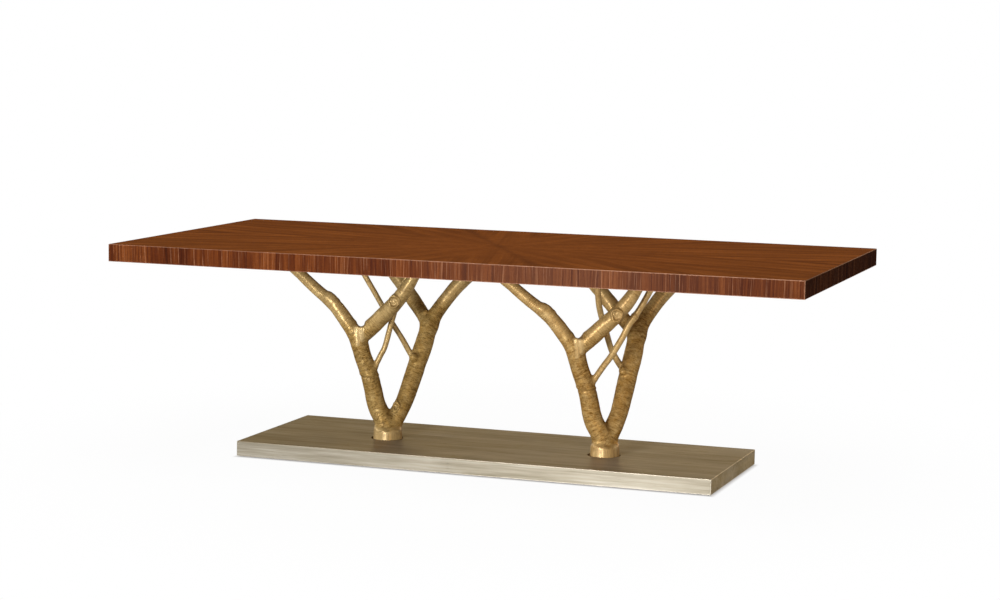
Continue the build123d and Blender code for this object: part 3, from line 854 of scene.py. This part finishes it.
def sunburst_material():
    """Walnut veneer laid as twelve wedges, each the mirror image of its neighbours.

    The angle about the middle, folded like a fan at every joint, gives the place within a
    wedge; the grain runs along the wedge's middle line.
    """
    material, nodes, output = new_material("sunburst_veneer")
    place = nodes.object_place()
    x, y, _ = nodes.split(place)
    radius = nodes.length(nodes.combine(x, y, 0.0))
    angle = nodes.math("ARCTAN2", y, x)
    leaf = nodes.math("FLOOR", nodes.math("DIVIDE", angle, LEAF_ANGLE))
    folded = nodes.math("PINGPONG", angle, LEAF_ANGLE)
    from_middle = nodes.math("SUBTRACT", folded, LEAF_ANGLE / 2)
    along = nodes.math("MULTIPLY", radius, nodes.math("COSINE", from_middle))
    across = nodes.math("MULTIPLY", radius, nodes.math("SINE", from_middle))
    leaf_tone = nodes.random(leaf)
    grain_place = nodes.combine(along, across, nodes.math("MULTIPLY", leaf_tone, 0.004))
    grain = nodes.group(WOOD_GRAIN, {"Vector": grain_place, "Streak Width": 0.011,
                                     "Streak Length": 0.55})
    flame = nodes.noise(nodes.scaled(grain_place, (2.2, 12, 1)), 1.0, 3.0, 0.55, 0.7)
    tone = nodes.math("MULTIPLY_ADD", grain.outputs["Tone"], 0.50,
                      nodes.math("MULTIPLY", nodes.remap(flame, 0.3, 0.7), 0.30))
    calm = nodes.remap(radius, 0.0, 1.1, 0.30, 1.0, smooth=True)
    tone = nodes.math("MULTIPLY_ADD", nodes.math("SUBTRACT", tone, 0.40), calm, 0.42)
    # Tone sloping across each wedge, one side lighter than the other: partly the wood's own tone,
    # partly a painted sheen of the mirrored leaves.
    slant = nodes.math("DIVIDE", from_middle, LEAF_ANGLE)
    tone = nodes.math("MULTIPLY_ADD", slant, 0.06, tone)
    curl = nodes.noise(nodes.scaled(grain_place, (26, 9, 1)), 1.0, 2.0, 0.5, 1.4)
    near_curl = nodes.remap(radius, 0.15, 0.9, 0.30, 0.12)
    tone = nodes.math("MULTIPLY_ADD", nodes.math("SUBTRACT", curl, 0.5), near_curl, tone)
    tone = nodes.math("ADD", tone, nodes.remap(leaf_tone, 0, 1, 0.01, 0.06))
    wood = nodes.ramp(tone, WALNUT_TONES)
    wood = nodes.stained(wood, grain.outputs["Pores"], 0.55, WALNUT_PORE)
    joint_distance = nodes.math("MULTIPLY", radius, nodes.math("SINE", nodes.math(
        "PINGPONG", folded, LEAF_ANGLE / 2)))
    joint = nodes.math("SUBTRACT", 1.0, nodes.math("DIVIDE", joint_distance, 0.0007), clamp=True)
    wood = nodes.stained(wood, joint, 0.55, GLUE_LINE)
    across_seam = nodes.add("VectorMath", {0: place, 1: SEAM_NORMAL}, operation="DOT_PRODUCT")
    seam_gap = nodes.math("ABSOLUTE", across_seam.outputs["Value"])
    seam = nodes.remap(seam_gap, 0.002, 0.030, 1.0, 0.0, smooth=True)
    wood = nodes.stained(wood, seam, 0.22, DARK_SEAM)
    rough, scratch = lacquer(nodes, place, 0.42)
    height = nodes.math("MULTIPLY_ADD", joint, -0.8, grain.outputs["Height"])
    height = nodes.math("MULTIPLY_ADD", scratch, -0.25, height)
    principled(nodes, output, Base_Color=wood, Roughness=rough, Specular_IOR_Level=0.0,
               Normal=nodes.bump(height, SATIN_DENT, 0.8), Coat_Weight=0.012,
               Coat_Roughness=0.3)
    return material


def crossband_material(name, run_axis, depth, painted_sheen, coat):
    """Edge veneer with upright grain, in narrow leaves cut from many places of the flitch.

    The run axis is 0 on the long edges and 1 on the ends.  Depth multiplies the tones; below 1
    it is painted shade.  The sheen share is the share of a paler, pinker tone about a place
    right of the middle: a painted sheen, for the light glancing off the edge there.
    """
    material, nodes, output = new_material(name)
    place = nodes.object_place()
    parts = nodes.split(place)
    run, height_up = parts[run_axis], parts[2]
    waver = nodes.noise(nodes.combine(run, 0.0, 3.0 + run_axis), 11.0, 2.0)
    stretched = nodes.math("MULTIPLY_ADD", waver, 0.11, run)
    leaf = nodes.math("FLOOR", nodes.math("DIVIDE", stretched, 0.047))
    leaf_tone = nodes.random(nodes.math("ADD", leaf, 40.5 * (1 + run_axis)))
    shift = nodes.math("MULTIPLY", leaf_tone, 3.7)
    lean = nodes.remap(nodes.random(nodes.math("ADD", leaf, 7.3)), 0, 1, -0.045, 0.045)
    slanted = nodes.math("MULTIPLY_ADD", height_up, lean, run)
    grain_place = nodes.combine(height_up, nodes.math("ADD", slanted, shift), shift)
    grain = nodes.group(WOOD_GRAIN, {"Vector": grain_place, "Streak Width": 0.0075,
                                     "Streak Length": 0.30})
    lines = nodes.noise(nodes.scaled(grain_place, (3, 210, 30)), 1.0, 3.0, 0.75)
    pale_line = nodes.remap(lines, 0.57, 0.68)
    dark_line = nodes.remap(lines, 0.43, 0.33)
    bands = nodes.noise(nodes.combine(nodes.math("MULTIPLY", slanted, 34.0), 0.0, 9.0), 1.0, 2.0)
    dark_band = nodes.remap(bands, 0.36, 0.26)
    tone = nodes.math("MULTIPLY_ADD", grain.outputs["Tone"], 0.55,
                      nodes.remap(leaf_tone, 0, 1, 0.04, 0.31))
    tone = nodes.math("ADD", tone, nodes.remap(run, -1.2, 0.1, -0.06, 0.0))
    wood = nodes.ramp(tone, [(stop, tuple(part * depth for part in colour))
                             for stop, colour in EDGE_TONES])
    # Painted sheen: a paler, pinker tone about a place right of the middle.
    from_painted_sheen = nodes.math("ABSOLUTE", nodes.math("SUBTRACT", run, 0.42))
    wood = nodes.mix(nodes.remap(from_painted_sheen, 0.1, 0.6, painted_sheen, 0.0), wood, EDGE_PAINTED_SHEEN)
    wood = nodes.stained(wood, pale_line, 0.52, PALE_STREAK)
    wood = nodes.stained(wood, dark_line, 0.74, DARK_STREAK)
    wood = nodes.stained(wood, dark_band, 0.68, DARK_BAND)
    wood = nodes.stained(wood, grain.outputs["Pores"], 0.5, EDGE_PORE)
    # Painted highlight along the arrises, for the light that the eased edge catches; stronger
    # towards the right of the long edges and the back of the ends.
    highlight_mask = nodes.group(ARRIS_HIGHLIGHT, {"Vector": place, "Half Size": TOP_HALF,
                                    "Middle Height": TOP_MIDDLE, "Width": 0.0032})
    wood = nodes.stained(wood, highlight_mask.outputs[0], nodes.remap(run, -0.7, 0.5, 0.35, 0.85),
                         WOOD_ARRIS_HIGHLIGHT)
    rough, scratch = lacquer(nodes, place, 0.38)
    height = nodes.math("MULTIPLY_ADD", scratch, -0.25, grain.outputs["Height"])
    principled(nodes, output, Base_Color=wood, Roughness=rough, Specular_IOR_Level=0.0,
               Normal=nodes.bump(height, SATIN_DENT, 0.8), Coat_Weight=coat,
               Coat_Roughness=0.3)
    return material


def timber_material(name, tones, width, length, roughness):
    """Plain-sawn or peeled timber with its grain along the table; tones from dark to light."""
    material, nodes, output = new_material(name)
    place = nodes.object_place()
    grain = nodes.group(WOOD_GRAIN, {"Vector": place, "Streak Width": width,
                                     "Streak Length": length})
    dark, middle, light = tones
    wood = nodes.ramp(grain.outputs["Tone"], [(0.0, dark), (0.5, middle), (1.0, light)])
    wood = nodes.stained(wood, grain.outputs["Pores"], 0.5, dark)
    rough, scratch = lacquer(nodes, place, roughness)
    height = nodes.math("MULTIPLY_ADD", scratch, -0.2, grain.outputs["Height"])
    principled(nodes, output, Base_Color=wood, Roughness=rough,
               Normal=nodes.bump(height, 0.0002, 0.7))
    return material


def pressed_board_material():
    """Fibreboard: tan, finely flecked, a little fuzzy."""
    material, nodes, output = new_material("panel_board")
    place = nodes.object_place()
    fibres = nodes.noise(nodes.scaled(place, (500, 700, 900)), 1.0, 3.0, 0.7)
    clouds = nodes.noise(place, 16.0, 3.0)
    tone = nodes.math("MULTIPLY_ADD", clouds, 0.4, nodes.math("MULTIPLY", fibres, 0.6))
    board = nodes.ramp(tone, [(0.3, (0.24, 0.15, 0.08)), (0.7, (0.44, 0.31, 0.18))])
    principled(nodes, output, Base_Color=board, Roughness=nodes.remap(fibres, 0, 1, 0.75, 0.95),
               Normal=nodes.bump(fibres, 0.0002, 0.6))
    return material


# ---- Metal finishes -------------------------------------------------------------------------

# Two copies of the leaf, which differ by painted light: the warm one, for the right casting, is
# painted warmer
# # and lighter for the warmer, brighter light on it.  Each gives the leaf where it is light, where
# it is deep,
# # toned down in the hollows, and burnished, partly as a painted highlight, on the smooth parts.
PALE_GOLD = {"light": (0.475, 0.326, 0.122), "deep": (0.395, 0.244, 0.073),
             "toned": (0.088, 0.045, 0.007), "burnished_highlight": (0.72, 0.55, 0.28)}
WARM_LIT_GOLD = {"light": (0.55, 0.368, 0.142), "deep": (0.475, 0.275, 0.080),
             "toned": (0.120, 0.054, 0.007), "burnished_highlight": (0.76, 0.57, 0.28)}
RED_BOLE = (0.24, 0.075, 0.02)
BARK_DENT = 0.0011                 # depth of the wrinkles


def gold_leaf_material(name, gold):
    """Gold leaf over a cast bark surface, toned down in the hollows, the bole rubbed bare in
    specks on the high places.

    The wrinkles are noise that is squeezed along the limb, with creases where a second such
    noise crosses its middle value.
    """
    material, nodes, output = new_material(name)
    place = nodes.object_place()
    x, y, _ = nodes.split(place)
    along, collar, polish, swelling = (nodes.attribute(mark) for mark in (
        "along_limb", "collar", "polish", "swelling"))
    ring_place = nodes.scaled(nodes.combine(x, y, along), (42, 42, 175))
    wrinkles = nodes.noise(ring_place, 1.0, 3.0, 0.6, 0.7)
    fissures = nodes.noise(nodes.scaled(ring_place, (1.3, 1.3, 1.0)), 1.0, 2.0, 0.5, 1.2)
    crease = nodes.remap(nodes.math("ABSOLUTE", nodes.math("SUBTRACT", fissures, 0.5)),
                         0.0, 0.05, 1.0, 0.0)
    pitting = nodes.noise(place, 260.0, 3.0, 0.65)
    rind = nodes.math("MULTIPLY_ADD", wrinkles, 0.62, nodes.math("MULTIPLY", pitting, 0.25))
    rind = nodes.math("MULTIPLY_ADD", crease, -0.16, rind)
    hollow = nodes.remap(rind, 0.24, 0.50, 1.0, 0.0)
    patches = nodes.noise(place, 30.0, 2.0, 0.5, 0.6)
    leaf = nodes.mix(nodes.remap(patches, 0.35, 0.65), gold["light"], gold["deep"])
    # Paler burnished leaf on the smooth parts, partly a painted highlight where they catch the
    # light.
    leaf = nodes.stained(leaf, polish, 0.55, gold["burnished_highlight"])
    toned = nodes.math("MULTIPLY", hollow, nodes.math("MULTIPLY_ADD", polish, -0.60, 0.78))
    broad = nodes.remap(swelling, -1.8, 1.2, 0.35, 0.0)
    leaf = nodes.mix(nodes.math("ADD", toned, broad, clamp=True), leaf, gold["toned"])
    rubbed = nodes.math("MULTIPLY", nodes.remap(pitting, 0.62, 0.70),
                        nodes.remap(rind, 0.50, 0.62))
    leaf = nodes.stained(leaf, rubbed, 0.35, RED_BOLE)
    rough = nodes.remap(hollow, 0, 1, 0.34, 0.50)
    rough = nodes.math("MULTIPLY_ADD", polish, -0.13, rough)
    bump_share = nodes.remap(polish, 0.0, 0.50, 1.0, 0.28)
    bump_share = nodes.math("MULTIPLY_ADD", collar, 0.25, bump_share)
    height = nodes.math("MULTIPLY_ADD", pitting, -0.12, rind)
    height = nodes.math("MULTIPLY", height, bump_share)
    metallic = nodes.remap(hollow, 0, 1, 0.27, 0.15)
    coat = nodes.math("MULTIPLY_ADD", polish, 0.26, 0.08)
    coat = nodes.math("MULTIPLY_ADD", collar, 0.38, coat)
    principled(nodes, output, Base_Color=leaf, Metallic=metallic, Roughness=rough,
               Specular_Tint=(0.40, 0.26, 0.10, 1), Specular_IOR_Level=0.0,
               Normal=nodes.bump(height, BARK_DENT, 1.0), Coat_Weight=coat, Coat_Roughness=0.36)
    return material


CHAMPAGNE_TONES = [(0.30, (0.180, 0.155, 0.105)), (0.5, (0.335, 0.305, 0.243)),
                   (0.70, (0.54, 0.51, 0.445))]
TOP_PAINTED_SHADE = (0.98, 0.92, 0.80)      # painted shade: the plinth's top face is a little deeper and yellower, for the shade it lies in under the table top
METAL_ARRIS_HIGHLIGHT = (0.86, 0.80, 0.68)
BRUSHED_DENT = 0.00006             # depth of brushing and of machined specks


def brushed_metal_material():
    """Champagne-coloured sheet brushed along its length, cloudy in long streaks."""
    material, nodes, output = new_material("brushed_champagne_metal")
    place = nodes.object_place()
    hair = nodes.noise(nodes.scaled(place, (6, 900, 900)), 1.0, 2.0, 0.6)
    streak = nodes.noise(nodes.scaled(place, (4.5, 110, 110)), 1.0, 3.0, 0.6)
    cloud = nodes.noise(nodes.scaled(place, (1.6, 16, 16)), 1.0, 3.0, 0.55, 0.4)
    tone = nodes.math("MULTIPLY_ADD", hair, 0.25, nodes.math("MULTIPLY", streak, 0.40))
    tone = nodes.math("MULTIPLY_ADD", cloud, 0.35, tone)
    x, _, z = nodes.split(place)
    upper = nodes.remap(z, PLINTH_HIGH.z - 0.003, PLINTH_HIGH.z - 0.001)
    # Painted light and shade: the sides darken towards the right; the top is darker at the left
    # and lighter at the right.
    painted_shade_on_sides = nodes.remap(x, -0.9, 0.9, 0.0, -0.035)
    painted_light_and_shade_on_top = nodes.remap(x, -0.9, 0.9, -0.04, 0.10)
    tone = nodes.math("ADD", tone, nodes.remap(upper, 0, 1, painted_shade_on_sides, painted_light_and_shade_on_top))
    sheet = nodes.ramp(tone, CHAMPAGNE_TONES)
    # Painted highlight along the sheet's arrises, for the light that they catch; stronger towards
    # the right.
    highlight_mask = nodes.group(ARRIS_HIGHLIGHT, {"Vector": place, "Half Size": PLINTH_HALF,
                                    "Middle Height": PLINTH_MIDDLE, "Width": 0.0026})
    # Painted shade on the top face.
    sheet = nodes.mix(upper, sheet, TOP_PAINTED_SHADE, "MULTIPLY")
    sheet = nodes.stained(sheet, highlight_mask.outputs[0], nodes.remap(x, -0.75, 0.1, 0.12, 0.65),
                          METAL_ARRIS_HIGHLIGHT)
    marks = nodes.group(HANDLING, {"Vector": place, "Scale": 0.8})
    brushed = nodes.remap(hair, 0.2, 0.8, 0.22, 0.34)
    rough = nodes.math("MULTIPLY_ADD", marks.outputs["Smudge"], 0.10, brushed)
    height = nodes.math("MULTIPLY_ADD", streak, 0.5, hair)
    girth = nodes.add("Tangent", direction_type="RADIAL", axis="X")
    principled(nodes, output, Base_Color=sheet, Metallic=0.32, Roughness=rough,
               Specular_Tint=(0.92, 0.68, 0.38, 1), Specular_IOR_Level=0.0, Anisotropic=0.6,
               Tangent=girth, Normal=nodes.bump(height, BRUSHED_DENT, 0.7))
    return material


def machined_metal_material(name, colour, dull, roughness, metallic=1.0):
    """Plated or bare metal: cloudy, lightly scratched."""
    material, nodes, output = new_material(name)
    place = nodes.object_place()
    cloud = nodes.noise(place, 60.0, 4.0, 0.6)
    speck = nodes.noise(place, 900.0, 2.0)
    metal = nodes.mix(nodes.remap(cloud, 0.3, 0.7), colour, dull)
    marks = nodes.group(HANDLING, {"Vector": place, "Scale": 3.0})
    rough = nodes.remap(marks.outputs["Smudge"], 0, 1, roughness - 0.06, roughness + 0.10)
    height = nodes.math("MULTIPLY_ADD", marks.outputs["Scratch"], -0.6, speck)
    principled(nodes, output, Base_Color=metal, Metallic=metallic, Roughness=rough,
               Normal=nodes.bump(height, BRUSHED_DENT, 0.8))
    return material


def nylon_material():
    """Moulded nylon: off-white, faintly mottled, scuffed underneath."""
    material, nodes, output = new_material("glide_nylon")
    place = nodes.object_place()
    mottle = nodes.noise(place, 180.0, 3.0)
    marks = nodes.group(HANDLING, {"Vector": place, "Scale": 4.0})
    nylon = nodes.mix(nodes.remap(mottle, 0.3, 0.7), (0.72, 0.70, 0.64), (0.62, 0.60, 0.54))
    nylon = nodes.stained(nylon, marks.outputs["Scratch"], 0.5, (0.35, 0.33, 0.30))
    principled(nodes, output, Base_Color=nylon, Roughness=nodes.remap(mottle, 0, 1, 0.38, 0.5),
               Subsurface_Weight=0.08, Normal=nodes.bump(mottle, 0.0001, 0.6))
    return material


# ---- Finishes on the pieces -------------------------------------------------------------------

def dress(names, material):
    """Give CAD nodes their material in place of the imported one."""
    for name in names:
        piece = nodes[name]
        for slot_place in piece.material_slots:
            slot_place.material = material


def names_starting(*starts):
    return [name for name in nodes if name.startswith(starts)]


dress(names_starting("top_veneer_leaf"), sunburst_material())
dress(["top_edge_band_front", "top_edge_band_back"],
      crossband_material("crossband_long", 0, depth=1.0, painted_sheen=0.24, coat=0.03))
# The end bands' tones are multiplied by 0.32: painted shade, for the shade that the ends lie in.
dress(["top_edge_band_left", "top_edge_band_right"],
      crossband_material("crossband_end", 1, depth=0.32, painted_sheen=0.0, coat=0.012))
dress(["top_backing_veneer"], timber_material("backing_veneer", BACKING_TONES, 0.014, 0.6, 0.55))
dress(names_starting("top_rail", "top_long_ribs", "top_cross_ribs", "plinth_long_rails",
                     "plinth_cross_rails"),
      timber_material("core_timber", POPLAR_TONES, 0.008, 0.3, 0.7))
dress(["top_upper_panel", "top_lower_panel", "plinth_deck_panel", "plinth_bottom_panel"],
      pressed_board_material())
dress(["plinth_cover"], brushed_metal_material())
dress(names_starting("left_ballast", "right_ballast"),
      machined_metal_material("black_steel", (0.10, 0.10, 0.105), (0.17, 0.15, 0.14), 0.5))
dress(["pad_screws", "foot_tie_rods", "foot_washers", "foot_nuts", "glide_screws",
       "bottom_panel_screws"],
      machined_metal_material("zinc_steel", (0.62, 0.64, 0.66), (0.50, 0.50, 0.47), 0.35))
dress(["threaded_inserts"],
      machined_metal_material("insert_brass", (0.72, 0.52, 0.24), (0.50, 0.36, 0.17), 0.32))
dress(["left_fixing_pads", "right_fixing_pads"],
      machined_metal_material("gilded_steel", (0.56, 0.42, 0.21), (0.42, 0.30, 0.13), 0.45, 0.8))
dress(["plinth_glides"], nylon_material())

build_casting("left", gold_leaf_material("gold_leaf_pale", PALE_GOLD))
build_casting("right", gold_leaf_material("gold_leaf_warm_lit", WARM_LIT_GOLD))

# ---- Camera, light and floor ------------------------------------------------------------------

CAMERA_PLACE = (2.820, -7.945, 1.5755)
CAMERA_ANGLES = (19.5, 6.783, 0.928)       # to the left of straight back, down, and over; degrees
FOCAL_LENGTH = 87.12
SENSOR_WIDTH = 36
FLOOR_REACH = 30


def add_camera():
    """Camera at a standing viewer's eye height, eight and a half metres off, hardly tilted."""
    yaw, pitch, roll = (math.radians(angle) for angle in CAMERA_ANGLES)
    forward = Vector((-math.sin(yaw) * math.cos(pitch), math.cos(yaw) * math.cos(pitch),
                      -math.sin(pitch)))
    level_right = Vector((math.cos(yaw), math.sin(yaw), 0))
    level_up = level_right.cross(forward)
    right = math.cos(roll) * level_right + math.sin(roll) * level_up
    up = -math.sin(roll) * level_right + math.cos(roll) * level_up
    lens = bpy.data.cameras.new("camera")
    lens.lens = FOCAL_LENGTH
    lens.sensor_width = SENSOR_WIDTH
    camera = bpy.data.objects.new("camera", lens)
    turn = Matrix((right, up, -forward)).transposed().to_4x4()
    camera.matrix_world = Matrix.Translation(CAMERA_PLACE) @ turn
    bpy.context.scene.collection.objects.link(camera)
    bpy.context.scene.camera = camera


def area_light(name, place, target, size, power, colour=(1, 1, 1)):
    """Oblong lamp at a place, turned towards its target."""
    lamp = bpy.data.lights.new(name, "AREA")
    lamp.shape = "RECTANGLE"
    lamp.size, lamp.size_y = size
    lamp.energy = power
    lamp.color = colour
    light = bpy.data.objects.new(name, lamp)
    aim = Vector(target) - Vector(place)
    light.matrix_world = (Matrix.Translation(place)
                          @ aim.to_track_quat("-Z", "Y").to_matrix().to_4x4())
    bpy.context.scene.collection.objects.link(light)


def add_floor():
    """Square stage floor round the origin."""
    low, high = -FLOOR_REACH, FLOOR_REACH
    mesh = bpy.data.meshes.new("floor")
    mesh.from_pydata([(low, low, 0), (high, low, 0), (high, high, 0), (low, high, 0)], [],
                     [(0, 1, 2, 3)])
    floor = bpy.data.objects.new("floor", mesh)
    bpy.context.scene.collection.objects.link(floor)
    mesh.materials.append(floor_material())


WARM = (1.0, 0.76, 0.49)

add_camera()
area_light("key", (-1.15, -6.7, 1.00), (0, 0, 0.45), (2.0, 1.9), 350)
area_light("side", (-6.5, -2.0, 1.6), (0, 0, 0.4), (2.4, 2.0), 88)
area_light("fill", (4.0, -4.6, 0.7), (0.2, 0, 0.35), (1.4, 1.2), 47, WARM)
area_light("overhead", (0.15, -0.4, 4.2), (0, 0, 0.7), (3.6, 2.4), 90)
area_light("back", (3.6, 6.0, 2.2), (0, 0, 0.4), (2.4, 1.6), 70, WARM)

add_world()
add_floor()
bpy.context.scene.view_settings.view_transform = "Standard"
